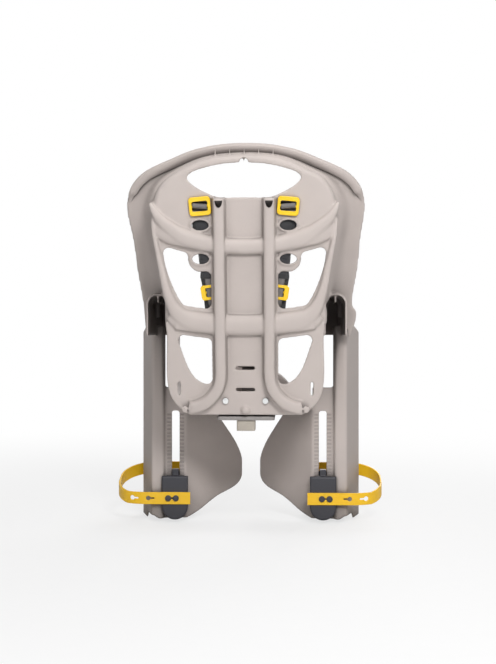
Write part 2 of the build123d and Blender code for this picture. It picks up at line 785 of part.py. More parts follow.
def make_shoulder_strap():
    """Webbing from the slider's bar through the back, down to the adjuster and the buckle tongue."""
    forwards = Vector(0, 1, back_slope).normalized()
    inner = slider_bar_radius + webbing_gap
    turn = Circle(inner + webbing_thick) - Circle(inner)
    turn -= Pos(2 * inner, 0) * Rectangle(4 * inner, 6 * inner)
    legs = harness_offset + slider_thick / 2 + webbing_gap + webbing_thick / 2
    for side in (-1, 1):
        turn += Pos(legs / 2, side * (inner + webbing_thick / 2)) * Rectangle(legs, webbing_thick)
    loop = extrude(Plane.XY * turn, amount=webbing_width / 2, both=True)
    place = back_frame(strap_slot_x, strap_slot_z, -slider_thick / 2 - webbing_gap)
    loop = place * Rot(0, 0, slider_tilt) * Rot(0, -90, 0) * loop
    top = harness_point(strap_slot_x, strap_slot_z + inner + webbing_thick)
    bend = harness_point(adjuster_x, adjuster_z - adjuster_height)
    end = Vector(tongue_x, buckle_y, buckle_z + buckle_height / 2 + tongue_gap + tongue_head + 3.5)
    strap = strip(top, bend, webbing_width, webbing_thick, forwards)
    lower_face = Vector(0, 1, 1).normalized()
    strap += strip(bend, end, webbing_width, webbing_thick, lower_face)
    return loop + strap


def make_pad():
    """Padded sleeve round the shoulder strap."""
    forwards = Vector(0, 1, back_slope).normalized()
    top = harness_point(strap_slot_x, strap_slot_z)
    low = harness_point(adjuster_x, adjuster_z - adjuster_height)
    run = low - top
    start = top + run * ((strap_slot_z - pad_top_z) / (top.Z - low.Z))
    end = top + run * ((strap_slot_z - pad_bottom_z) / (top.Z - low.Z))
    body = strip(start, end, pad_width, pad_thick, forwards)
    body = fillet(body.edges().sort_by(lambda edge: -edge.length)[:4], 3)
    stretch = (end - start) * 0.1
    return body - strip(start - stretch, end + stretch, webbing_width + 2, webbing_thick + 1, forwards)


def make_adjuster():
    """Two-bar adjuster on the shoulder strap below the pad."""
    frame = RectangleRounded(adjuster_width, adjuster_height, 5) - RectangleRounded(
        webbing_width + 3, adjuster_height - 10, 2)
    body = extrude(frame, amount=adjuster_thick / 2, both=True)
    body += Pos(0, 0, webbing_thick / 2 + webbing_gap + 0.9) * Box(webbing_width + 5, 3.5, 1.8)
    body -= Box(webbing_width + 2 * webbing_gap, 2 * adjuster_height, webbing_thick + 2 * webbing_gap)
    top = harness_point(strap_slot_x, strap_slot_z)
    low = harness_point(adjuster_x, adjuster_z - adjuster_height)
    share = (strap_slot_z - adjuster_z) / (top.Z - low.Z)
    centre = top + (low - top) * share
    forwards = Vector(0, 1, back_slope).normalized()
    across = forwards.cross(low - top).normalized() * -1
    return Plane(origin=centre, x_dir=across, z_dir=forwards) * body


def make_tongue():
    """Latch tongue on the end of one shoulder strap."""
    top_z = buckle_z + buckle_height / 2
    low_z = top_z + tongue_gap
    head = block(1, 2 * tongue_x, buckle_y - 4, buckle_y + 4, low_z, low_z + tongue_head)
    head = fillet(head.edges().filter_by(Axis.Y), 3)
    blade = block(3, 15, buckle_y - 1.2, buckle_y + 1.2, top_z - 20, top_z + 2)
    return head + blade


def make_buckle():
    """Buckle body with its tongue slots, button pocket and crotch strap slot."""
    y0 = buckle_y - buckle_thick / 2
    y1 = buckle_y + buckle_thick / 2
    z0 = buckle_z - buckle_height / 2
    z1 = buckle_z + buckle_height / 2
    body = block(-buckle_width / 2, buckle_width / 2, y0, y1, z0, z1)
    body = fillet(body.edges().filter_by(Axis.Y), 7)
    body -= button_pocket(button_clearance, y1)
    for side in (-1, 1):
        body -= block(side * 9 - 6.5, side * 9 + 6.5, buckle_y - 1.7, buckle_y + 1.7, z1 - 21, z1 + 1)
    return body - prism_z(crotch_slot(0.3), z0 - 1, z0 + 8)


def button_pocket(clearance, front_y):
    """Pocket that the release button slides in."""
    face = Pos(0, buckle_z - 6) * RectangleRounded(button_width + 2 * clearance, button_height + 2 * clearance, 4)
    return prism_y(face, front_y - 7, front_y + 1)


def make_button():
    """Release button, pressed into the buckle."""
    y1 = buckle_y + buckle_thick / 2
    face = Pos(0, buckle_z - 6) * RectangleRounded(button_width, button_height, 3.5)
    return prism_y(face, y1 - 7 + button_travel + 1.4, y1 + button_travel)


def make_button_spring():
    """Flat leaf behind the button."""
    y1 = buckle_y + buckle_thick / 2
    return block(-6, 6, y1 - 7, y1 - 6, buckle_z - 14, buckle_z + 2)


def make_crotch_strap():
    """Webbing from the pan's slot up into the buckle, with a folded end below."""
    z0 = buckle_z - buckle_height / 2
    strap = prism_z(crotch_slot(0), 2, z0 + 7.5)
    fold = block(-webbing_width / 2, webbing_width / 2, buckle_y - 3, buckle_y + 3, 2, pan_bottom_z - 4)
    return strap + fold


def make_crotch_anchor():
    """Bar under the pan that keeps the crotch strap's end from pulling through."""
    face = Pos(0, buckle_y) * RectangleRounded(webbing_width + 14, 16, 4)
    return prism_z(face - crotch_slot(0.4), pan_bottom_z - 3.7, pan_bottom_z - 0.3)


def write(name, shape):
    """One STEP file for one node."""
    export_step(shape, "parts/" + name + ".step")


def write_pair(name, shape):
    """The right-hand piece and its mirror image."""
    write(name + "_right", shape)
    write(name + "_left", mirrored(shape))


os.makedirs("parts", exist_ok=True)
write("seat_shell", make_shell())
write_pair("footrest", make_footrest())
write_pair("foot_strap", make_foot_strap())
write_pair("strap_slider", make_slider())
write_pair("shoulder_strap", make_shoulder_strap())
write_pair("shoulder_pad", make_pad())
write_pair("strap_adjuster", make_adjuster())
write_pair("latch_tongue", make_tongue())
write("buckle_body", make_buckle())
write("release_button", make_button())
write("button_spring", make_button_spring())
write("crotch_strap", make_crotch_strap())
write("crotch_anchor", make_crotch_anchor())
write("fixing_plate", make_plate())
write("plate_screws", Compound(children=make_plate_screws()))
write("locating_block", make_block())
write("panel_screws", Compound(children=make_panel_screws()))
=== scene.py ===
import bmesh
import bpy
from math import cos, pi, radians, sin
from mathutils import Matrix, Vector


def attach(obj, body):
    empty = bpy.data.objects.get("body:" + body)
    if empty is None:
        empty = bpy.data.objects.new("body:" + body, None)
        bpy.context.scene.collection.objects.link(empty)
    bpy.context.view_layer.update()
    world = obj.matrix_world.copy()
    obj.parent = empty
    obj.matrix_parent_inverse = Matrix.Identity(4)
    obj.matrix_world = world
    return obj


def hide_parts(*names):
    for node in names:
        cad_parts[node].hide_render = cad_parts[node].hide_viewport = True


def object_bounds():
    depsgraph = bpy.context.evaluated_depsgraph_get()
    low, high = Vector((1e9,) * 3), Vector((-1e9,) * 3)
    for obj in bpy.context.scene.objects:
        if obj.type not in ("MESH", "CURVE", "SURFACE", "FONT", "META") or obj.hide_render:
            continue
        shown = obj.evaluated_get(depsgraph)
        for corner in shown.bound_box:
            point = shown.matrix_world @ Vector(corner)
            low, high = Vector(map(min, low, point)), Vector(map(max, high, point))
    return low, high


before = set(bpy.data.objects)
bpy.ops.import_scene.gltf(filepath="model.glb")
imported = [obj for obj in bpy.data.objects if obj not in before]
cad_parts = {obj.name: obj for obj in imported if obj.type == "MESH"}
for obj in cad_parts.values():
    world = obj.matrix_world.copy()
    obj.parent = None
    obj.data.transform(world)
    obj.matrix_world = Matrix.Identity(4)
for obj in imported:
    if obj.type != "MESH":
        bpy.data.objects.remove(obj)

bl_info = {
    "name": "Child bike seat looks",
    "version": (1, 0, 0),
    "blender": (4, 5, 0),
    "location": "View3D > Sidebar > Child Seat",
    "description": "Dresses the packed child bike seat with moulded plastic, webbing, pads and straps",
    "category": "Object",
}

CAD_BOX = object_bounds()
SIDES = (("right", 1), ("left", -1))
ACROSS_SEAT = Vector((1, 0, 0))

# The backrest's rear face and the plane of its rim, in metres in the part's frame
BACK_FOOT_Y = -0.0688
BACK_SLOPE = 0.2
FORWARDS = Vector((0, 1, BACK_SLOPE)).normalized()
RIM_FOOT_Y = 0.1358
RIM_SLOPE = 0.55
RIM_HALF_WIDTH = 0.207
RIM_TOP = 0.478

# The rim from its top to the shoulder, as shares of its half width and of its top's height
RIM_SHARES = [(0, 1), (0.2, 0.996), (0.38, 0.983), (0.5, 0.968), (0.62, 0.948), (0.74, 0.928),
              (0.845, 0.906), (0.93, 0.876), (0.985, 0.84), (0.995, 0.8)]

# The upright ribs and the half-round openings at their tops
RIB_X = 0.0425
RIB_WIDTH = 0.0195
RIB_HEIGHT = 0.018
RIB_RIDGE_FOOT = 0.0105
MOUTH_Z = 0.3797
MOUTH_HALF_WIDTH = 0.0066
MOUTH_HEIGHT = 0.0122
FIN_XS = (-0.049, -0.0245, 0.0, 0.0245, 0.049)

# The ridges behind the back: each stop is its X, its Z, its width and its height
RIB_RIDGE = [(RIB_X, z, RIB_WIDTH, RIB_HEIGHT) for z in (0.3835, 0.300, 0.200, 0.120)]
RIB_RIDGE += [(RIB_X, 0.083, RIB_WIDTH, 0.0175), (0.0481, 0.0576, RIB_WIDTH, 0.017),
              (0.0639, 0.037, RIB_WIDTH, 0.0155), (0.0771, 0.0286, RIB_WIDTH, 0.0145),
              (0.0921, 0.0239, 0.0185, 0.013), (0.104, 0.0225, 0.015, 0.008), (0.112, 0.0222, 0.008, 0.002)]
UPPER_BRACE = [(-0.006, 0.301, 0.027, 0.0115), (0.045, 0.3045, 0.028, 0.0115), (0.085, 0.3115, 0.029, 0.0115),
               (0.106, 0.319, 0.029, 0.011), (0.1245, 0.3315, 0.025, 0.0095), (0.1435, 0.348, 0.018, 0.008),
               (0.1535, 0.362, 0.012, 0.006), (0.160, 0.375, 0.005, 0.002)]
LOWER_BRACE = [(-0.006, 0.1675, 0.035, 0.0115), (0.045, 0.169, 0.036, 0.0115), (0.085, 0.1735, 0.036, 0.0115),
               (0.105, 0.180, 0.033, 0.011), (0.1225, 0.198, 0.024, 0.0095), (0.1343, 0.228, 0.016, 0.008),
               (0.1422, 0.265, 0.013, 0.007), (0.1487, 0.2956, 0.010, 0.006), (0.154, 0.322, 0.008, 0.005),
               (0.1565, 0.350, 0.005, 0.002)]
UPPER_FLARE = [(0.100, 0.3165, 0.034, 0.0085), (0.122, 0.322, 0.036, 0.008), (0.138, 0.330, 0.034, 0.006),
               (0.150, 0.340, 0.026, 0.002)]
LOWER_FLARE = [(0.100, 0.176, 0.038, 0.0085), (0.116, 0.181, 0.037, 0.0075), (0.128, 0.189, 0.026, 0.004)]

# The footrests' guides with a toothed strip on each side of the slot, and the rows of grips on the soles
GUIDE_X = 0.1408
STRIP_FROM_MIDDLE = (0.0078, 0.0162)
STRIP_Y = (0.0935, 0.0965)
STRIP_Z = (-0.135, 0.001)
TOOTH_PITCH = 0.007
GRIP_ROW = (-0.012, 0.03)
GRIP_ROWS_Y = (0.1651, 0.140)
GRIP_Z = -0.1887

# The harness: the right strap leaves its slot, runs down in front of the back, bends and ends at its tongue
STRAP_SLOT_X = 0.075
STRAP_SLOT_Z = 0.3695
STRAP_BEND_X = 0.050
STRAP_BEND_Z = 0.198
STRAP_DEPTH = 0.0096
BUCKLE_Y = 0.080
TONGUE_END = Vector((0.0135, BUCKLE_Y, 0.1655))

# The right pad's two ends, its seams' distances from its middle line and its ends, how deep they draw it in
# as a share of its thickness, and the flaps over the slot and the adjuster, whose stops are X, Z and depth
PAD_TOP_Z = 0.352
PAD_LOW_Z = 0.244
SIDE_SEAM = 0.0165
END_SEAM = 0.006
SEAM_DEPTH = 0.28
FLAP_WIDTH = 0.040
FLAP_THICK = 0.0034
FLAP_X = 0.0745
FLAP_STOPS = [(FLAP_X, 0.3825, 0.0145), (FLAP_X, 0.376, 0.0140), (FLAP_X, 0.366, 0.0138),
              (FLAP_X, 0.352, 0.0130), (FLAP_X, 0.344, 0.0115)]
TAIL_STOPS = [(0.0570, 0.250, 0.0125), (0.0553, 0.241, 0.0150), (0.0535, 0.226, 0.0172), (0.0515, 0.208, 0.0168),
              (0.0500, 0.193, 0.0150)]

# How finely a rounded skin is made: its voxel, its smoothing passes and the most triangles it keeps, and the
# angle past which the carved shell's edges stay sharp
FOOTREST_SKIN = (0.0009, 3, 60000)
STRAP_SKIN = (0.0006, 3, 60000)
LOOP_SKIN = (0.00045, 4, 40000)
BUCKLE_SKIN = (0.0005, 4, 30000)
PLATE_SKIN = (0.0009, 3, 60000)
SHELL_PASSES = 4
SHELL_TRIANGLES = 190000
PAD_VOXEL = 0.004
CREASE = radians(50)


# Shapes

def back_y(z):
    """Rear face of the backrest at a height, in metres."""
    return BACK_FOOT_Y - BACK_SLOPE * z


def back_point(x, z, depth):
    """A point at a depth in front of the backrest's rear face."""
    return Vector((x, back_y(z), z)) + FORWARDS * depth


def in_scene(name, data):
    """A new object for a mesh, curve, lamp or camera, linked to the scene."""
    holder = bpy.data.objects.new(name, data)
    bpy.context.scene.collection.objects.link(holder)
    return holder


def put(name, mesh, material):
    """A new piece at the origin, of one material."""
    mesh.materials.clear()
    mesh.materials.append(material)
    return in_scene(name, mesh)


def evaluated_mesh(holder):
    """A plain mesh of what an object's modifiers make of it."""
    bpy.context.view_layer.update()
    return bpy.data.meshes.new_from_object(holder.evaluated_get(bpy.context.evaluated_depsgraph_get()))


def bake(piece):
    """Puts a piece's evaluated mesh in its place and removes its modifiers."""
    mesh = evaluated_mesh(piece)
    piece.modifiers.clear()
    piece.data = mesh


def made_mesh(name, work):
    """A new mesh with what a working mesh holds, which is freed."""
    mesh = bpy.data.meshes.new(name)
    work.to_mesh(mesh)
    work.free()
    return mesh


def welded_copy(node):
    """A copy of a CAD node's mesh whose triangles share their corners."""
    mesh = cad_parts[node].data.copy()
    work = bmesh.new()
    work.from_mesh(mesh)
    bmesh.ops.remove_doubles(work, verts=work.verts, dist=1e-6)
    work.to_mesh(mesh)
    work.free()
    return mesh


def fill_mesh(mesh, forms):
    """Puts several meshes into one, side by side."""
    work = bmesh.new()
    for form in forms:
        work.from_mesh(form)
    work.to_mesh(mesh)
    work.free()
    return mesh


def voxel_skin(piece, voxel):
    """Gives a piece a modifier that makes one even skin round all its forms."""
    remesh = piece.modifiers.new("Remesh", "REMESH")
    remesh.mode = "VOXEL"
    remesh.voxel_size = voxel


def moulded_copy(name, node, material, voxel, passes, most, grown=(), carved=None, crisp=()):
    """A copy of a CAD node with a moulding's rounded edges, in a number of triangles at most.

    Forms that are grown on share its skin, one form may be carved out, and crisp ones are joined last.
    """
    mesh = welded_copy(node)
    piece = put(name, fill_mesh(mesh, (mesh, *grown)), material)
    voxel_skin(piece, voxel)
    smooth = piece.modifiers.new("Smooth", "SMOOTH")
    smooth.factor = 0.5
    smooth.iterations = passes
    bake(piece)
    triangles = sum(len(face.vertices) - 2 for face in piece.data.polygons)
    if triangles > most:
        thin = piece.modifiers.new("Thin", "DECIMATE")
        thin.ratio = most / triangles
        bake(piece)
    if carved is not None:
        cutter = put(name + "_cutter", carved, material)
        cut = piece.modifiers.new("Cut", "BOOLEAN")
        cut.operation = "DIFFERENCE"
        cut.solver = "FAST"
        cut.object = cutter
        bake(piece)
        bpy.data.objects.remove(cutter)
    if crisp:
        fill_mesh(piece.data, (piece.data, *crisp))
    piece.data.materials.clear()
    piece.data.materials.append(material)
    piece.data.shade_smooth()
    if carved is not None:
        piece.data.set_sharp_from_angle(angle=CREASE)
    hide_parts(node)
    return piece


def refinish(node, material):
    """A better material on a CAD node whose shape stays."""
    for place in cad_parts[node].material_slots:
        place.material = material


def curved_through(points, steps):
    """A smooth run of points through the given ones."""
    out = []
    last = len(points) - 1
    for i in range(last):
        before = points[max(0, i - 1)]
        here = points[i]
        there = points[i + 1]
        after = points[min(last, i + 2)]
        for k in range(steps):
            t = k / steps
            out.append(0.5 * ((2 * here) + (there - before) * t
                              + (2 * before - 5 * here + 4 * there - after) * t * t
                              + (3 * here - before - 3 * there + after) * t * t * t))
    out.append(points[last])
    return out


def run_at(points, i):
    """The way a path runs at one of its points, not scaled to length 1."""
    return points[min(i + 1, len(points) - 1)] - points[max(i - 1, 0)]


def ribbon_profile(width, thick):
    """The rounded cross section of a flat band."""
    edge = min(thick, width) / 2
    right = []
    for turn in (-90, -45, 0, 45, 90):
        right.append((width / 2 - edge + cos(radians(turn)) * edge, sin(radians(turn)) * thick / 2))
    inner = [(share * (width - 2 * edge), thick / 2) for share in (0.3, 0.1, -0.1, -0.3)]
    return right + inner + [(-x, y) for x, y in reversed(right)] + [(-x, -y) for x, y in inner]


def ribbon_mesh(name, centres, acrosses, width, thick):
    """A band along a path, with rounded selvedges and its own UV map in metres."""
    profile = ribbon_profile(width, thick)
    work = bmesh.new()
    layer = work.loops.layers.uv.new("UVMap")
    rings = []
    lengths = [0.0]
    for i, centre in enumerate(centres):
        along = run_at(centres, i).normalized()
        across = (acrosses[i] - along * acrosses[i].dot(along)).normalized()
        up = across.cross(along).normalized()
        rings.append([work.verts.new(centre + across * x + up * y) for x, y in profile])
        if i:
            lengths.append(lengths[-1] + (centre - centres[i - 1]).length)
    count = len(profile)
    for i in range(len(rings) - 1):
        for k in range(count):
            after = (k + 1) % count
            face = work.faces.new((rings[i][k], rings[i][after], rings[i + 1][after], rings[i + 1][k]))
            corners = ((k, i), (after, i), (after, i + 1), (k, i + 1))
            for loop, (corner, ring) in zip(face.loops, corners):
                loop[layer].uv = (profile[corner][0], lengths[ring])
    work.faces.new(rings[0])
    work.faces.new(list(reversed(rings[-1])))
    bmesh.ops.recalc_face_normals(work, faces=work.faces)
    mesh = made_mesh(name, work)
    mesh.shade_smooth()
    return mesh


def mirrored_piece(name, piece):
    """The same piece on the other side of the seat."""
    mesh = piece.data.copy()
    mesh.transform(Matrix.Scale(-1, 4, (1, 0, 0)))
    mesh.flip_normals()
    return put(name, mesh, piece.data.materials[0])


# Rows of small parts along a path

def row_tree():
    """Geometry nodes that set small round parts along a curve at an even spacing."""
    tree = bpy.data.node_groups.new("parts_along_path", "GeometryNodeTree")
    face = tree.interface
    face.new_socket("Path", in_out="INPUT", socket_type="NodeSocketGeometry")
    for name, default in (("Spacing", 0.004), ("Length", 0.003), ("Width", 0.0008), ("Height", 0.0008)):
        face.new_socket(name, in_out="INPUT", socket_type="NodeSocketFloat").default_value = default
    face.new_socket("Finish", in_out="INPUT", socket_type="NodeSocketMaterial")
    face.new_socket("Parts", in_out="OUTPUT", socket_type="NodeSocketGeometry")
    start = tree.nodes.new("NodeGroupInput")
    end = tree.nodes.new("NodeGroupOutput")
    places = tree.nodes.new("GeometryNodeCurveToPoints")
    places.mode = "LENGTH"
    size = tree.nodes.new("ShaderNodeCombineXYZ")
    setting = tree.nodes.new("GeometryNodeInstanceOnPoints")
    real = tree.nodes.new("GeometryNodeRealizeInstances")
    finish = tree.nodes.new("GeometryNodeSetMaterial")
    part = tree.nodes.new("GeometryNodeMeshIcoSphere")
    part.inputs["Radius"].default_value = 0.5
    part.inputs["Subdivisions"].default_value = 1
    link = tree.links.new
    link(start.outputs["Path"], places.inputs["Curve"])
    link(start.outputs["Spacing"], places.inputs["Length"])
    link(start.outputs["Width"], size.inputs["X"])
    link(start.outputs["Height"], size.inputs["Y"])
    link(start.outputs["Length"], size.inputs["Z"])
    link(places.outputs["Points"], setting.inputs["Points"])
    link(places.outputs["Rotation"], setting.inputs["Rotation"])
    link(part.outputs["Mesh"], setting.inputs["Instance"])
    link(size.outputs["Vector"], setting.inputs["Scale"])
    link(setting.outputs["Instances"], real.inputs["Geometry"])
    link(real.outputs["Geometry"], finish.inputs["Geometry"])
    link(start.outputs["Finish"], finish.inputs["Material"])
    link(finish.outputs["Geometry"], end.inputs["Parts"])
    return tree


def row_of_parts(name, paths, spacing, size, material):
    """Small parts along one or more paths, as one plain mesh. Their size is width, height and length."""
    curve = bpy.data.curves.new(name, "CURVE")
    curve.dimensions = "3D"
    for path in paths:
        spline = curve.splines.new("POLY")
        spline.points.add(len(path) - 1)
        for point, place in zip(spline.points, path):
            point.co = (*place, 1)
    holder = in_scene(name + "_path", curve)
    tree = row_tree()
    modifier = holder.modifiers.new("Row", "NODES")
    modifier.node_group = tree
    keys = {item.name: item.identifier for item in tree.interface.items_tree if item.in_out == "INPUT"}
    width, height, length = size
    for key, value in (("Spacing", spacing), ("Length", length), ("Width", width), ("Height", height),
                       ("Finish", material)):
        modifier[keys[key]] = value
    mesh = evaluated_mesh(holder)
    bpy.data.objects.remove(holder)
    mesh.shade_smooth()
    return put(name, mesh, material)


# Materials

class Signal:
    """A number travelling through a material's nodes."""

    def __init__(self, finish, socket):
        self.finish = finish
        self.socket = socket

    def maths(self, operation, *others):
        """One Math node on this number and others."""
        values = {0: self}
        for i, other in enumerate(others):
            values[i + 1] = other
        return self.finish.node("ShaderNodeMath", {"operation": operation}, values)

    def __add__(self, other):
        return self.maths("ADD", other)

    def __sub__(self, other):
        return self.maths("SUBTRACT", other)

    def __mul__(self, other):
        return self.maths("MULTIPLY", other)

    def over(self, limit):
        """1 where this number is larger."""
        return self.maths("GREATER_THAN", limit)

    def under(self, limit):
        """1 where this number is smaller."""
        return self.maths("LESS_THAN", limit)

    def within(self, low, high):
        """1 where this number lies between two limits."""
        return self.over(low) * self.under(high)

    def size(self):
        """This number without its sign."""
        return self.maths("ABSOLUTE")

    def spread(self, low, high, to_low=0.0, to_high=1.0):
        """This number's range drawn out to another, with soft ends."""
        return self.finish.node("ShaderNodeMapRange", {"interpolation_type": "SMOOTHSTEP"}, {
            "Value": self, "From Min": low, "From Max": high, "To Min": to_low, "To Max": to_high}, "Result")


class Finish:
    """One procedural material, built node by node."""

    def __init__(self, name, **constants):
        self.material = bpy.data.materials.new(name)
        self.material.use_nodes = True
        self.tree = self.material.node_tree
        self.shader = self.tree.nodes["Principled BSDF"]
        for key, value in constants.items():
            self.shader.inputs[key.replace("_", " ")].default_value = value
        self.place = self.node("ShaderNodeTexCoord", {}, {}, "Object")

    def node(self, kind, settings, values, out=0):
        """Any node, with its settings, its values or links, and one output."""
        made = self.tree.nodes.new(kind)
        for key, value in settings.items():
            setattr(made, key, value)
        for key, value in values.items():
            if isinstance(value, Signal):
                self.tree.links.new(value.socket, made.inputs[key])
            else:
                made.inputs[key].default_value = value
        return Signal(self, made.outputs[out])

    def axis(self, name, vector=None):
        """One coordinate of a vector."""
        return self.node("ShaderNodeSeparateXYZ", {}, {"Vector": vector or self.place}, name)

    def noise(self, scale, detail=3.0, vector=None):
        """Cloudy variation from 0 to 1."""
        return self.node("ShaderNodeTexNoise", {}, {
            "Vector": vector or self.place, "Scale": scale, "Detail": detail}, "Fac")

    def mixed(self, share, first, second):
        """A colour between two others."""
        return self.node("ShaderNodeMix", {"data_type": "RGBA"}, {0: share, 6: first, 7: second}, 2)

    def into(self, name, signal):
        """Feeds one of the shader's varying inputs."""
        self.tree.links.new(signal.socket, self.shader.inputs[name])

    def bump(self, height, distance, below=None):
        """Surface relief from a height."""
        values = {"Height": height, "Distance": distance, "Strength": 1.0}
        if below is not None:
            values["Normal"] = below
        return self.node("ShaderNodeBump", {}, values, "Normal")


def shade(colour, factor):
    """A colour made darker or lighter, with alpha."""
    return (colour[0] * factor, colour[1] * factor, colour[2] * factor, 1.0)


def plastic(name, colour, roughness, grain, depth, variation=0.08, **constants):
    """Moulded plastic: its colours and relief, from grain, faint flow marks and rubbed, dusty patches."""
    finish = Finish(name, **constants)
    clouds = finish.noise(scale=14.0, detail=4.0)
    specks = finish.noise(scale=900.0, detail=2.0)
    tone = clouds.spread(0.3, 0.7) * 0.75 + specks * 0.25
    colours = finish.mixed(tone, shade(colour, 1 - variation), shade(colour, 1 + variation))
    finish.into("Roughness", clouds.spread(0.3, 0.7, roughness - 0.05, roughness + 0.07))
    fine = finish.bump(finish.noise(grain, detail=2.0), depth)
    waves = finish.bump(finish.noise(scale=22.0, detail=1.0), depth * 4, fine)
    return finish, colours, waves


def shell_plastic(colour):
    """The shell's plastic: teeth pressed into the footrest guides with painted shade in their grooves, painted
    near-black shade inside the rib mouths, and painted shade where the surface is hollow.
    """
    finish, colours, relief = plastic("moulded_shell", colour, roughness=0.52, grain=1700.0, depth=0.00009,
                                      variation=0.035, Specular_IOR_Level=0.14)
    x = finish.axis("X").size()
    y = finish.axis("Y")
    z = finish.axis("Z")
    strips = (x - GUIDE_X).size().within(*STRIP_FROM_MIDDLE) * y.within(*STRIP_Y) * z.within(*STRIP_Z)
    tooth = (z * (1 / TOOTH_PITCH)).maths("FRACT").spread(0.42, 0.58) * strips
    # Painted shade: the grooves between the teeth are painted darker, while the bump below gives their relief.
    colours = finish.mixed(tooth * 0.3, colours, shade(colour, 0.35))
    # Painted shade: inside the rib mouths the colour is painted near-black, standing in for the shadow in the
    # openings.
    margin = 0.0004
    deepest = 0.0098
    above = 0.001
    behind = y + z * BACK_SLOPE
    painted_mouth_shade = (x - RIB_X).size().under(MOUTH_HALF_WIDTH + margin) * z.within(MOUTH_Z - MOUTH_HEIGHT, MOUTH_Z)
    painted_mouth_shade = painted_mouth_shade * behind.within(BACK_FOOT_Y - deepest, BACK_FOOT_Y + above)
    colours = finish.mixed(painted_mouth_shade, colours, shade(colour, 0.02))
    # Painted shade: an ambient occlusion mask darkens the colour towards a fifth of it in valleys, recesses and
    # hollow corners.
    shade_reach = 0.11
    painted_hollow_shade = finish.node("ShaderNodeAmbientOcclusion", {"samples": 8}, {"Distance": shade_reach}, "AO")
    colours = finish.mixed(painted_hollow_shade.spread(0.25, 0.88, 0.85, 0.0), colours, shade(colour, 0.2))
    finish.into("Base Color", colours)
    finish.into("Normal", finish.bump(tooth * -1.0, 0.0012, relief))
    return finish.material


def plain_plastic(name, colour, roughness, grain=1500.0, depth=0.00008, variation=0.08, **constants):
    """Moulded plastic with nothing pressed into it."""
    finish, colours, relief = plastic(name, colour, roughness, grain, depth, variation, **constants)
    finish.into("Base Color", colours)
    finish.into("Normal", relief)
    return finish.material


def strap_rubber(colour):
    """Soft strap rubber with fine ribs along its length."""
    finish, colours, relief = plastic("strap_rubber", colour, roughness=0.42, grain=1200.0, depth=0.00005,
                                      variation=0.05)
    dust = finish.noise(scale=60.0, detail=5.0).spread(0.55, 0.75, 0.0, 0.25)
    finish.into("Base Color", finish.mixed(dust, colours, shade(colour, 0.72)))
    rib_pitch = 0.0023
    ribs = (finish.axis("Z") * (1 / rib_pitch)).maths("PINGPONG", 0.5)
    finish.into("Normal", finish.bump(ribs, 0.00018, relief))
    return finish.material


def webbing_cloth(colour):
    """Woven webbing: ribs across it, a twill along it and a darker colour along its selvedges."""
    finish = Finish("webbing_weave", Sheen_Weight=0.25, Sheen_Roughness=0.4)
    uv = finish.node("ShaderNodeTexCoord", {}, {}, "UV")
    across = finish.axis("X", uv)
    along = finish.axis("Y", uv)
    end_pitch = 0.0013
    pick_pitch = 0.0017
    ends = (across * (1 / end_pitch)).maths("PINGPONG", 0.5) * 2.0
    picks = ((along + across * 0.6) * (1 / pick_pitch)).maths("PINGPONG", 0.5) * 2.0
    weave = ends * 0.45 + picks * 0.55
    edge = across.size().spread(0.0106, 0.0114)
    fuzz = finish.noise(scale=1400.0, detail=4.0)
    tone = weave * 0.6 + fuzz * 0.4 - edge * 0.2
    finish.into("Base Color", finish.mixed(tone.spread(0.1, 0.9), shade(colour, 0.5), shade(colour, 1.35)))
    finish.into("Roughness", fuzz.spread(0.2, 0.8, 0.72, 0.92))
    finish.into("Normal", finish.bump(weave + fuzz * 0.3, 0.00035))
    return finish.material


def pad_cloth(colour):
    """Open knitted cloth over the pads."""
    finish = Finish("pad_knit", Sheen_Weight=0.35, Sheen_Roughness=0.5)
    cells = finish.node("ShaderNodeTexVoronoi", {"feature": "F1"}, {
        "Vector": finish.place, "Scale": 620.0, "Randomness": 0.15}, "Distance")
    fuzz = finish.noise(scale=1800.0, detail=3.0)
    tone = cells.spread(0.1, 0.55) * 0.7 + fuzz * 0.3
    finish.into("Base Color", finish.mixed(tone, shade(colour, 0.45), shade(colour, 1.9)))
    finish.into("Roughness", fuzz.spread(0.2, 0.8, 0.78, 0.95))
    finish.into("Normal", finish.bump(cells * -1.0 + fuzz * 0.2, 0.0004))
    return finish.material


def zinc_steel():
    """Zinc-plated steel with a faint brushed grain."""
    finish = Finish("zinc_plate", Metallic=1.0)
    stretched = finish.node("ShaderNodeMapping", {}, {
        "Vector": finish.place, "Scale": (60.0, 900.0, 900.0)}, "Vector")
    brushed = finish.noise(scale=1.0, detail=4.0, vector=stretched)
    clouds = finish.noise(scale=160.0, detail=4.0)
    tone = brushed * 0.6 + clouds * 0.4
    finish.into("Base Color", finish.mixed(tone, (0.42, 0.43, 0.44, 1), (0.68, 0.68, 0.67, 1)))
    finish.into("Roughness", tone.spread(0.3, 0.7, 0.24, 0.42))
    finish.into("Normal", finish.bump(brushed, 0.00004))
    return finish.material


# Sizes and colours that a user would change

class ShellSettings(bpy.types.PropertyGroup):
    """The moulded shell."""
    colour: bpy.props.FloatVectorProperty(
        name="Shell colour", description="Warm grey of the moulding", default=(0.535, 0.475, 0.446),
        subtype="COLOR", size=3, min=0, max=1)
    rounding: bpy.props.FloatProperty(
        name="Rounding size", description="Voxel that rounds the shell's edges", default=0.0019,
        unit="LENGTH", min=0.001, max=0.004)
    rim_band: bpy.props.FloatProperty(
        name="Rim band", description="Width of the flat band along the rim", default=0.0145, unit="LENGTH")
    band_step: bpy.props.FloatProperty(
        name="Band step", description="How far the rim band stands out behind the rim", default=0.008,
        unit="LENGTH")


class FootSettings(bpy.types.PropertyGroup):
    """Footrests and foot straps."""
    colour: bpy.props.FloatVectorProperty(
        name="Footrest colour", description="Dark blue-grey plastic", default=(0.030, 0.030, 0.038),
        subtype="COLOR", size=3, min=0, max=1)
    strap_colour: bpy.props.FloatVectorProperty(
        name="Strap colour", description="Yellow of the foot straps", default=(0.93, 0.55, 0.012),
        subtype="COLOR", size=3, min=0, max=1)


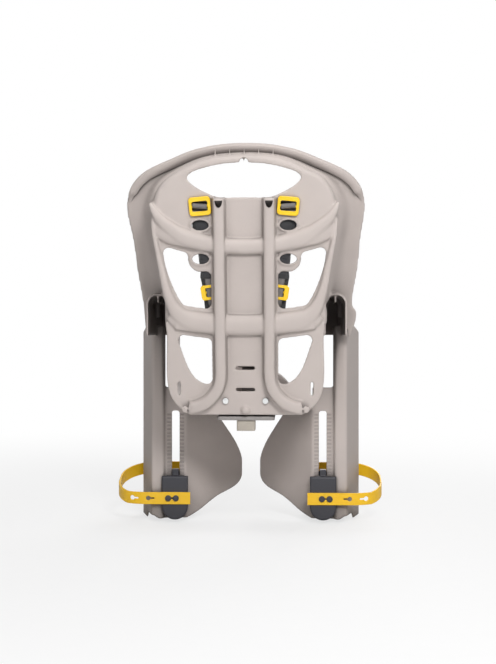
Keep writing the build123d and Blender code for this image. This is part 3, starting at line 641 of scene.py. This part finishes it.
class HarnessSettings(bpy.types.PropertyGroup):
    """Webbing, pads, loops and the buckle."""
    webbing_colour: bpy.props.FloatVectorProperty(
        name="Webbing colour", description="Grey of the harness", default=(0.19, 0.176, 0.172),
        subtype="COLOR", size=3, min=0, max=1)
    pad_colour: bpy.props.FloatVectorProperty(
        name="Pad colour", description="Black of the shoulder pads", default=(0.022, 0.022, 0.024),
        subtype="COLOR", size=3, min=0, max=1)
    loop_colour: bpy.props.FloatVectorProperty(
        name="Loop colour", description="Yellow of the loops and adjusters", default=(0.95, 0.60, 0.012),
        subtype="COLOR", size=3, min=0, max=1)
    width: bpy.props.FloatProperty(
        name="Webbing width", description="Width of the webbing", default=0.025, unit="LENGTH")
    thick: bpy.props.FloatProperty(
        name="Webbing thickness", description="Thickness of the webbing", default=0.0016, unit="LENGTH")
    pad_swell: bpy.props.FloatProperty(
        name="Pad swell", description="The most a point of a pad moves outwards", default=0.004, unit="LENGTH")


class StageSettings(bpy.types.PropertyGroup):
    """Floor, lamps and camera."""
    eye: bpy.props.FloatVectorProperty(
        name="Camera place", description="Where the camera stands", default=(0.075, -1.980, 0.156),
        unit="LENGTH", size=3)
    target: bpy.props.FloatVectorProperty(
        name="Camera target", description="What the camera looks at", default=(0.0045, -0.080, 0.156),
        unit="LENGTH", size=3)
    focal: bpy.props.FloatProperty(
        name="Focal length", description="On a sensor 36 mm wide", default=78.82, min=10)


# Forms grown on the shell, joined to it or carved out of it

def rim_band_mesh(width, thick):
    """Flat band along the top of the rim, from shoulder to shoulder."""
    right = [(sx * RIM_HALF_WIDTH, sz * RIM_TOP) for sx, sz in RIM_SHARES]
    outline = [(-x, z) for x, z in reversed(right[1:])] + right
    line = curved_through([Vector((x, RIM_FOOT_Y - RIM_SLOPE * z, z)) for x, z in outline], 5)
    out_of_rim = Vector((0, -1, -RIM_SLOPE)).normalized()
    seat_middle = Vector((0, 0, 0.25))
    bevel = 0.0011
    root = -0.003
    thinnest = 0.002
    fading_rings = 6
    rings = []
    for i, point in enumerate(line):
        inwards = run_at(line, i).normalized().cross(out_of_rim).normalized()
        if inwards.dot(seat_middle - point) < 0:
            inwards = -inwards
        fade = min(1.0, min(i, len(line) - 1 - i) / fading_rings)
        far = width * (0.3 + 0.7 * fade)
        out = max(thinnest, thick * fade)
        section = [(0, root), (0, out - bevel), (bevel, out), (far - bevel, out), (far, out - bevel), (far, root)]
        rings.append([point + inwards * a + out_of_rim * b for a, b in section])
    return closed_mesh("rim_band", rings)


def closed_mesh(name, rings):
    """A closed skin over rings of points, with its ends filled."""
    work = bmesh.new()
    loops = [[work.verts.new(point) for point in ring] for ring in rings]
    count = len(loops[0])
    for low, high in zip(loops, loops[1:]):
        for k in range(count):
            after = (k + 1) % count
            work.faces.new((low[k], low[after], high[after], high[k]))
    work.faces.new(loops[0])
    work.faces.new(list(reversed(loops[-1])))
    bmesh.ops.recalc_face_normals(work, faces=work.faces)
    return made_mesh(name, work)


def ridge_mesh(name, sign, stops, base=None):
    """A smooth ridge behind the back, whose foot lies at a base or else sinks in, deeper out on the wing."""
    path = curved_through([Vector(stop) for stop in stops], 5)
    centres = [back_point(sign * x, z, 0) for x, z, width, height in path]
    root = -0.003
    wing_x = 0.145
    roundness = 0.75
    rings = []
    for i, (x, z, width, height) in enumerate(path):
        across = -FORWARDS.cross(run_at(centres, i)).normalized()
        foot = root - max(0.0, x - wing_x) * 0.5 if base is None else base
        section = [(width / 2, foot)]
        for turn in range(0, 181, 15):
            c = cos(radians(turn))
            s = max(0.0, sin(radians(turn)))
            sideways = width / 2 * abs(c) ** roundness * (1 if c >= 0 else -1)
            section.append((sideways, max(foot + 0.0002, 0) + (height - max(foot, 0)) * s ** roundness))
        section.append((-width / 2, foot))
        rings.append([centres[i] + across * a - FORWARDS * b for a, b in section])
    return closed_mesh(name, rings)


def fin_mesh(name, x):
    """A small upright fin in the cove under the rim band."""
    foot_z = 0.440
    half = 0.0013
    side = [(back_y(foot_z), foot_z), (-0.1335, 0.470), (-0.138, 0.452)]
    return closed_mesh(name, [[Vector((x + step, y, z)) for y, z in side] for step in (-half, half)])


def rib_mouths_mesh():
    """The half-round openings at the tops of the two upright ribs."""
    outline = [(RIB_X + MOUTH_HALF_WIDTH * cos(radians(t)), MOUTH_Z + MOUTH_HEIGHT * sin(radians(t)))
               for t in range(180, 361, 15)]
    mouths = []
    for side, sign in SIDES:
        rings = [[back_point(sign * x, z, depth) for x, z in outline] for depth in (-0.024, -0.006)]
        mouths.append(closed_mesh("mouth_" + side, rings))
    return fill_mesh(bpy.data.meshes.new("rib_mouths"), mouths)


# Operators

class SEAT_OT_shell(bpy.types.Operator):
    """Make the moulded shell with its rim band and braces"""
    bl_idname = "seat.shell"
    bl_label = "Shell"

    def execute(self, context):
        settings = context.scene.seat_shell
        material = shell_plastic(settings.colour)
        grown = [fin_mesh("fin", x) for x in FIN_XS]
        for side, sign in SIDES:
            grown.append(ridge_mesh("rib_ridge_" + side, sign, RIB_RIDGE, RIB_RIDGE_FOOT))
            for name, stops in (("upper_brace_", UPPER_BRACE), ("lower_brace_", LOWER_BRACE),
                                ("upper_flare_", UPPER_FLARE), ("lower_flare_", LOWER_FLARE)):
                grown.append(ridge_mesh(name + side, sign, stops))
        band = rim_band_mesh(settings.rim_band, settings.band_step)
        shell = moulded_copy("moulded_shell", "seat_shell", material, settings.rounding, SHELL_PASSES,
                             SHELL_TRIANGLES, grown=grown, carved=rib_mouths_mesh(), crisp=[band])
        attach(shell, "seat")
        return {"FINISHED"}


class SEAT_OT_footrests(bpy.types.Operator):
    """Make the footrests and the straps round them"""
    bl_idname = "seat.footrests"
    bl_label = "Footrests"

    def execute(self, context):
        settings = context.scene.seat_foot
        plain = plain_plastic("footrest_plastic", settings.colour, 0.48, 1300.0, 0.0001, 0.12)
        rubber = strap_rubber(settings.strap_colour)
        grip_size = (0.0032, 0.0032, 0.0032)
        grip_pitch = 0.006
        for side, sign in SIDES:
            rest = moulded_copy("footrest_body_" + side, "footrest_" + side, plain, *FOOTREST_SKIN)
            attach(rest, "footrest_" + side)
            strap = moulded_copy("foot_band_" + side, "foot_strap_" + side, rubber, *STRAP_SKIN)
            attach(strap, "footrest_" + side)
            rows = [[Vector((sign * (GUIDE_X + x), y, GRIP_Z)) for x in GRIP_ROW] for y in GRIP_ROWS_Y]
            studs = row_of_parts("sole_grips_" + side, rows, grip_pitch, grip_size, plain)
            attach(studs, "footrest_" + side)
        return {"FINISHED"}


class SEAT_OT_yellow_parts(bpy.types.Operator):
    """Make the loops behind the back and the adjusters in front of it"""
    bl_idname = "seat.yellow_parts"
    bl_label = "Loops and adjusters"

    def execute(self, context):
        colour = context.scene.seat_harness.loop_colour
        material = plain_plastic("yellow_loops", colour, 0.3, 1600.0, 0.00003, 0.04, Coat_Weight=0.15)
        for side, sign in SIDES:
            for name, node in (("strap_loop_", "strap_slider_"), ("two_bar_adjuster_", "strap_adjuster_")):
                piece = moulded_copy(name + side, node + side, material, *LOOP_SKIN)
                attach(piece, "seat")
        return {"FINISHED"}


def shoulder_path(sign):
    """Centre points and width directions of one shoulder strap, from the loop down to the tongue."""
    tilt = radians(5)
    lean = Vector((cos(tilt), 0, sin(tilt)))
    bar = -0.0029
    gap = 0.0032
    most_sag = 0.004
    steps = 4
    turn = [(gap, 0.0035), (gap, 0.0015), (gap, bar)]
    turn += [(gap * cos(radians(t)), bar - gap * sin(radians(t))) for t in range(20, 180, 20)]
    turn += [(-gap, bar), (-gap, 0.002), (-gap - 0.0004, 0.006), (-gap - 0.004, 0.0088)]
    points = [back_point(STRAP_SLOT_X, STRAP_SLOT_Z + along, depth) for along, depth in turn]
    leans = [lean] * len(points)
    for share in (0.08, 0.25, 0.45, 0.65, 0.85, 0.96):
        points.append(back_point(STRAP_SLOT_X + (STRAP_BEND_X - STRAP_SLOT_X) * share,
                                 STRAP_SLOT_Z + (STRAP_BEND_Z - STRAP_SLOT_Z) * share, STRAP_DEPTH))
    bend = back_point(STRAP_BEND_X, STRAP_BEND_Z, STRAP_DEPTH)
    for share in (0.06, 0.3, 0.6, 0.85, 1.0):
        sag = sin(share * pi) * most_sag
        points.append(bend + (TONGUE_END - bend) * share - Vector((0, 0, sag)))
    leans += [ACROSS_SEAT] * (len(points) - len(leans))
    smooth = curved_through(points, steps)
    directions = []
    for i in range(len(smooth)):
        lower = min(len(leans) - 1, i // steps)
        directions.append(leans[lower].lerp(leans[min(len(leans) - 1, lower + 1)], (i % steps) / steps))
    if sign < 0:
        smooth = [Vector((-p.x, p.y, p.z)) for p in smooth]
        directions = [Vector((d.x, d.y, -d.z)) for d in directions]
    return smooth, directions


def stitch_rows(centres):
    """Two rows of stitches on each face of a shoulder strap, just above its tongue."""
    place = len(centres) - 8
    run = (centres[place] - centres[place - 1]).normalized()
    across = ACROSS_SEAT - run * run.x
    normal = across.cross(run).normalized()
    off_face = 0.0009
    row_length = 0.014
    rows = []
    for offset in (-0.009, 0.009):
        start = centres[place] + across.normalized() * offset
        for lift in (-off_face, off_face):
            rows.append([start + run * t + normal * lift for t in (0, row_length)])
    return rows


class SEAT_OT_webbing(bpy.types.Operator):
    """Make the shoulder straps and the crotch strap"""
    bl_idname = "seat.webbing"
    bl_label = "Webbing"

    def execute(self, context):
        settings = context.scene.seat_harness
        cloth = webbing_cloth(settings.webbing_colour)
        thread = plain_plastic("thread", (0.30, 0.28, 0.27), 0.7, 2500.0, 0.00002, 0.1)
        stitch_size = (0.0006, 0.0006, 0.0021)
        stitch_pitch = 0.0028
        fold_thick = 0.0008
        for side, sign in SIDES:
            centres, acrosses = shoulder_path(sign)
            mesh = ribbon_mesh("harness_web_" + side, centres, acrosses, settings.width, settings.thick)
            strap = put("harness_web_" + side, mesh, cloth)
            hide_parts("shoulder_strap_" + side)
            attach(strap, "seat")
            rows = stitch_rows(centres)
            stitches = row_of_parts("web_stitches_" + side, rows, stitch_pitch, stitch_size, thread)
            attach(stitches, "seat")
        centres = curved_through([Vector((0, BUCKLE_Y, z)) for z in (0.002, 0.02, 0.05, 0.08, 0.0965)], 6)
        mesh = ribbon_mesh("crotch_web", centres, [ACROSS_SEAT] * len(centres), settings.width, settings.thick)
        low = put("crotch_web", mesh, cloth)
        fold = curved_through([Vector((0, BUCKLE_Y + y, z)) for y, z in (
            (0.0016, 0.0055), (0.0026, 0.0038), (0.0016, 0.0024), (0, 0.0021), (-0.0016, 0.0024),
            (-0.0026, 0.0038), (-0.0016, 0.0055))], 3)
        mesh = ribbon_mesh("crotch_fold", fold, [ACROSS_SEAT] * len(fold), settings.width, fold_thick)
        folded = put("crotch_fold", mesh, cloth)
        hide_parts("crotch_strap")
        for piece in (low, folded):
            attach(piece, "seat")
        return {"FINISHED"}


def pad_frame():
    """Middle of the right pad, its run, across and outward directions, and its length."""
    top = back_point(STRAP_SLOT_X, STRAP_SLOT_Z, STRAP_DEPTH)
    low = back_point(STRAP_BEND_X, STRAP_BEND_Z, STRAP_DEPTH)
    run = (low - top).normalized()
    start = top + (low - top) * ((STRAP_SLOT_Z - PAD_TOP_Z) / (top.z - low.z))
    end = top + (low - top) * ((STRAP_SLOT_Z - PAD_LOW_Z) / (top.z - low.z))
    across = FORWARDS.cross(run).normalized()
    return (start + end) / 2, run, across, across.cross(run).normalized() * -1, (end - start).length


def fill_pad(context, pad, most):
    """Blows a pad up by a short cloth simulation, and brings back what moved further than the most."""
    rest = [vert.co.copy() for vert in pad.data.vertices]
    last_frame = 20
    sim = pad.modifiers.new("Cloth", "CLOTH")
    sim.settings.use_pressure = True
    sim.settings.uniform_pressure_force = 4.0
    sim.settings.mass = 0.2
    sim.settings.effector_weights.gravity = 0
    sim.point_cache.frame_start = 1
    sim.point_cache.frame_end = last_frame
    for number in range(1, last_frame + 1):
        context.scene.frame_set(number)
    bake(pad)
    context.scene.frame_set(1)
    for vert, start in zip(pad.data.vertices, rest):
        moved = vert.co - start
        if moved.length > most:
            vert.co = start + moved * (most / moved.length)


def press_seams(mesh):
    """Draws the right pad's faces in along its two cross seams and along the seam round its edge."""
    middle, run, across, outward, length = pad_frame()
    cross_half = 0.004
    edge_half = 0.003
    for vert in mesh.vertices:
        offset = vert.co - middle
        along = offset.dot(run)
        sideways = offset.dot(across)
        dip = 0.0
        for seam in (-length / 6, length / 6):
            dip = max(dip, 1 - abs(along - seam) / cross_half)
        dip = max(dip, 1 - abs(abs(sideways) - SIDE_SEAM) / edge_half,
                  1 - abs(abs(along) - length / 2 + END_SEAM) / edge_half)
        vert.co -= outward * offset.dot(outward) * SEAM_DEPTH * max(0.0, dip)


def pad_stitch_rows():
    """The right pad's rows of stitches on both faces: along the cross seams and along its sides."""
    middle, run, across, outward, length = pad_frame()
    rows = []
    for seam in (-length / 6, length / 6):
        for face in (-0.0036, 0.0036):
            rows.append([middle + run * seam + across * a + outward * face for a in (-0.015, 0.015)])
    half = length / 2 - END_SEAM
    for edge in (-SIDE_SEAM, SIDE_SEAM):
        for face in (-0.0034, 0.0034):
            rows.append([middle + across * edge + run * a + outward * face for a in (-half, half)])
    return rows


class SEAT_OT_pads(bpy.types.Operator):
    """Make the padded sleeves by a short cloth simulation"""
    bl_idname = "seat.pads"
    bl_label = "Shoulder pads"

    def execute(self, context):
        settings = context.scene.seat_harness
        cloth = pad_cloth(settings.pad_colour)
        thread = plain_plastic("pad_thread", (0.10, 0.10, 0.105), 0.7, 2500.0, 0.00002, 0.1)
        middle, run, across, outward, length = pad_frame()
        thinner = 0.22
        narrower = 0.05
        shorter = 0.02
        mesh = welded_copy("shoulder_pad_right")
        for vert in mesh.vertices:
            offset = vert.co - middle
            vert.co -= outward * offset.dot(outward) * thinner + across * offset.dot(across) * narrower
            vert.co -= run * offset.dot(run) * shorter
        pad = put("shoulder_sleeve_right", mesh, cloth)
        voxel_skin(pad, PAD_VOXEL)
        bake(pad)
        fill_pad(context, pad, settings.pad_swell)
        subdivide = pad.modifiers.new("Rounding", "SUBSURF")
        subdivide.levels = 2
        subdivide.render_levels = 2
        bake(pad)
        press_seams(pad.data)
        pad.data.materials.clear()
        pad.data.materials.append(cloth)
        pad.data.shade_smooth()
        for name, stops in (("pad_flap_", FLAP_STOPS), ("pad_tail_", TAIL_STOPS)):
            centres = curved_through([back_point(x, z, depth) for x, z, depth in stops], 4)
            mesh = ribbon_mesh(name + "right", centres, [across] * len(centres), FLAP_WIDTH, FLAP_THICK)
            flap = put(name + "right", mesh, cloth)
            for piece in (flap, mirrored_piece(name + "left", flap)):
                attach(piece, "seat")
        other = mirrored_piece("shoulder_sleeve_left", pad)
        for piece, side in ((pad, "right"), (other, "left")):
            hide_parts("shoulder_pad_" + side)
            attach(piece, "seat")
        stitch_size = (0.0007, 0.0007, 0.0023)
        stitch_pitch = 0.0032
        right = row_of_parts("pad_stitches_right", pad_stitch_rows(), stitch_pitch, stitch_size, thread)
        left = mirrored_piece("pad_stitches_left", right)
        for piece in (right, left):
            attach(piece, "seat")
        return {"FINISHED"}


class SEAT_OT_buckle(bpy.types.Operator):
    """Make the buckle, its button, the tongues and the anchor bar"""
    bl_idname = "seat.buckle"
    bl_label = "Buckle"

    def execute(self, context):
        black = plain_plastic("buckle_plastic", (0.018, 0.018, 0.02), 0.38, 1500.0, 0.00006, 0.15)
        red = plain_plastic("button_plastic", (0.55, 0.028, 0.018), 0.32, 1500.0, 0.00004, 0.06)
        steel = zinc_steel()
        pieces = [("buckle_case", "buckle_body", black, "black_plastic", "seat"),
                  ("press_button", "release_button", red, "button", "button"),
                  ("tongue_right", "latch_tongue_right", black, "black_plastic", "seat"),
                  ("tongue_left", "latch_tongue_left", black, "black_plastic", "seat"),
                  ("anchor_bar", "crotch_anchor", black, "black_plastic", "seat")]
        for name, node, material, slot, body in pieces:
            piece = moulded_copy(name, node, material, *BUCKLE_SKIN)
            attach(piece, body)
        button_front = 0.0911
        bead_size = (0.0012, 0.0012, 0.0012)
        bead_pitch = 0.00028
        rows = [[Vector((x, button_front, z)) for x in (-0.007, 0.007)] for z in (0.107, 0.112, 0.117)]
        ribs = row_of_parts("button_ribs", rows, bead_pitch, bead_size, red)
        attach(ribs, "button")
        refinish("button_spring", steel)
        return {"FINISHED"}


class SEAT_OT_underside(bpy.types.Operator):
    """Finish the fixing plate, the block and the screws"""
    bl_idname = "seat.underside"
    bl_label = "Underside"

    def execute(self, context):
        plate = plain_plastic("plate_plastic", (0.28, 0.26, 0.25), 0.5)
        beige = plain_plastic("block_plastic", (0.43, 0.385, 0.33), 0.55)
        steel = zinc_steel()
        for name, node, material, slot in (("base_plate", "fixing_plate", plate, "plate"),
                                           ("under_block", "locating_block", beige, "block")):
            piece = moulded_copy(name, node, material, *PLATE_SKIN)
            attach(piece, "seat")
        for node in ("plate_screws", "panel_screws"):
            refinish(node, steel)
        return {"FINISHED"}


def aimed(name, data, place, target):
    """A lamp or camera at one point, turned towards another."""
    holder = in_scene(name, data)
    holder.location = place
    holder.rotation_euler = (Vector(target) - Vector(place)).to_track_quat("-Z", "Y").to_euler()
    return holder


def area_lamp(name, place, target, size, power):
    """A large soft lamp turned towards a point."""
    lamp = bpy.data.lights.new(name, "AREA")
    lamp.shape = "DISK"
    lamp.size = size
    lamp.energy = power
    aimed(name, lamp, place, target)


def floor_material():
    """Pale paper that glows more towards its far edge, to the camera alone."""
    paper = Finish("floor_paper", Roughness=0.8)
    tone = paper.noise(scale=40.0, detail=2.0)
    paper.into("Base Color", paper.mixed(tone, (0.80, 0.80, 0.80, 1), (0.84, 0.84, 0.84, 1)))
    tree = paper.tree
    glow = tree.nodes.new("ShaderNodeEmission")
    glow.inputs["Color"].default_value = (1, 1, 1, 1)
    glow.inputs["Strength"].default_value = 1.0
    mix = tree.nodes.new("ShaderNodeMixShader")
    rays = tree.nodes.new("ShaderNodeLightPath")
    reach = paper.node("ShaderNodeVectorMath", {"operation": "LENGTH"}, {0: paper.place}, "Value")
    share = Signal(paper, rays.outputs["Is Camera Ray"]) * reach.spread(0.4, 2.2, 0.7, 1.0)
    tree.links.new(share.socket, mix.inputs[0])
    tree.links.new(paper.shader.outputs[0], mix.inputs[1])
    tree.links.new(glow.outputs[0], mix.inputs[2])
    tree.links.new(mix.outputs[0], tree.nodes["Material Output"].inputs["Surface"])
    return paper.material


def floor_mesh():
    """A wide disk just under the lowest point of the part."""
    radius = 6
    gap = 0.001
    work = bmesh.new()
    bmesh.ops.create_circle(work, cap_ends=True, segments=64, radius=radius)
    for vert in work.verts:
        vert.co.z = CAD_BOX[0][2] - gap
    return made_mesh("floor", work)


def studio_world():
    """A world that is white to the camera and in reflections, and dim as a light."""
    world = bpy.data.worlds.new("studio")
    world.use_nodes = True
    tree = world.node_tree
    link = tree.links.new
    back = tree.nodes["Background"]
    rays = tree.nodes.new("ShaderNodeLightPath")
    seen = tree.nodes.new("ShaderNodeMath")
    seen.operation = "MAXIMUM"
    clear = tree.nodes.new("ShaderNodeMath")
    clear.operation = "MAXIMUM"
    level = tree.nodes.new("ShaderNodeMapRange")
    level.inputs["To Min"].default_value = 0.08
    level.inputs["To Max"].default_value = 1.0
    link(rays.outputs["Is Glossy Ray"], clear.inputs[0])
    link(rays.outputs["Is Transmission Ray"], clear.inputs[1])
    link(rays.outputs["Is Camera Ray"], seen.inputs[0])
    link(clear.outputs[0], seen.inputs[1])
    link(seen.outputs[0], level.inputs["Value"])
    back.inputs["Color"].default_value = (1, 1, 1, 1)
    link(level.outputs[0], back.inputs["Strength"])
    return world


def camera_at(place, target, focal):
    """A camera that looks from one point at another."""
    eye = bpy.data.cameras.new("camera")
    eye.sensor_fit = "HORIZONTAL"
    eye.sensor_width = 36
    eye.lens = focal
    return aimed("camera", eye, place, target)


class SEAT_OT_stage(bpy.types.Operator):
    """Make the pale floor, the lamps and the camera"""
    bl_idname = "seat.stage"
    bl_label = "Stage"

    def execute(self, context):
        settings = context.scene.seat_stage
        floor = put("floor", floor_mesh(), floor_material())
        context.scene.world = studio_world()
        area_lamp("key", (0.6, -2.1, 1.35), (0, 0, 0.2), 0.6, 38)
        area_lamp("fill", (-0.5, -2.4, 0.5), (0, 0, 0.15), 0.9, 9)
        area_lamp("top", (0.1, -0.7, 2.2), (0, 0, 0.1), 0.8, 14)
        area_lamp("front", (0.6, 2.2, 1.2), (0, 0, 0.1), 1.4, 26)
        context.scene.camera = camera_at(settings.eye, settings.target, settings.focal)
        context.scene.view_settings.view_transform = "Standard"
        return {"FINISHED"}


class SEAT_PT_panel(bpy.types.Panel):
    """Lists the seat's settings and operators"""
    bl_label = "Child seat"
    bl_space_type = "VIEW_3D"
    bl_region_type = "UI"
    bl_category = "Child Seat"

    def draw(self, context):
        scene = context.scene
        for group in (scene.seat_shell, scene.seat_foot, scene.seat_harness, scene.seat_stage):
            for name in group.__annotations__:
                self.layout.prop(group, name)
        for operator in OPERATORS:
            self.layout.operator(operator.bl_idname)


OPERATORS = (SEAT_OT_stage, SEAT_OT_shell, SEAT_OT_footrests, SEAT_OT_yellow_parts, SEAT_OT_webbing,
             SEAT_OT_pads, SEAT_OT_buckle, SEAT_OT_underside)
GROUPS = (("seat_shell", ShellSettings), ("seat_foot", FootSettings), ("seat_harness", HarnessSettings),
          ("seat_stage", StageSettings))


def register():
    """Registers the classes and the scene's settings."""
    for name, group in GROUPS:
        bpy.utils.register_class(group)
        setattr(bpy.types.Scene, name, bpy.props.PointerProperty(type=group))
    for operator in OPERATORS:
        bpy.utils.register_class(operator)
    bpy.utils.register_class(SEAT_PT_panel)


def unregister():
    """Takes everything that register added away again."""
    bpy.utils.unregister_class(SEAT_PT_panel)
    for operator in reversed(OPERATORS):
        bpy.utils.unregister_class(operator)
    for name, group in reversed(GROUPS):
        delattr(bpy.types.Scene, name)
        bpy.utils.unregister_class(group)


def main():
    register()
    for operator in OPERATORS:
        family, name = operator.bl_idname.split(".")
        getattr(getattr(bpy.ops, family), name)()


if __name__ == "__main__":
    main()
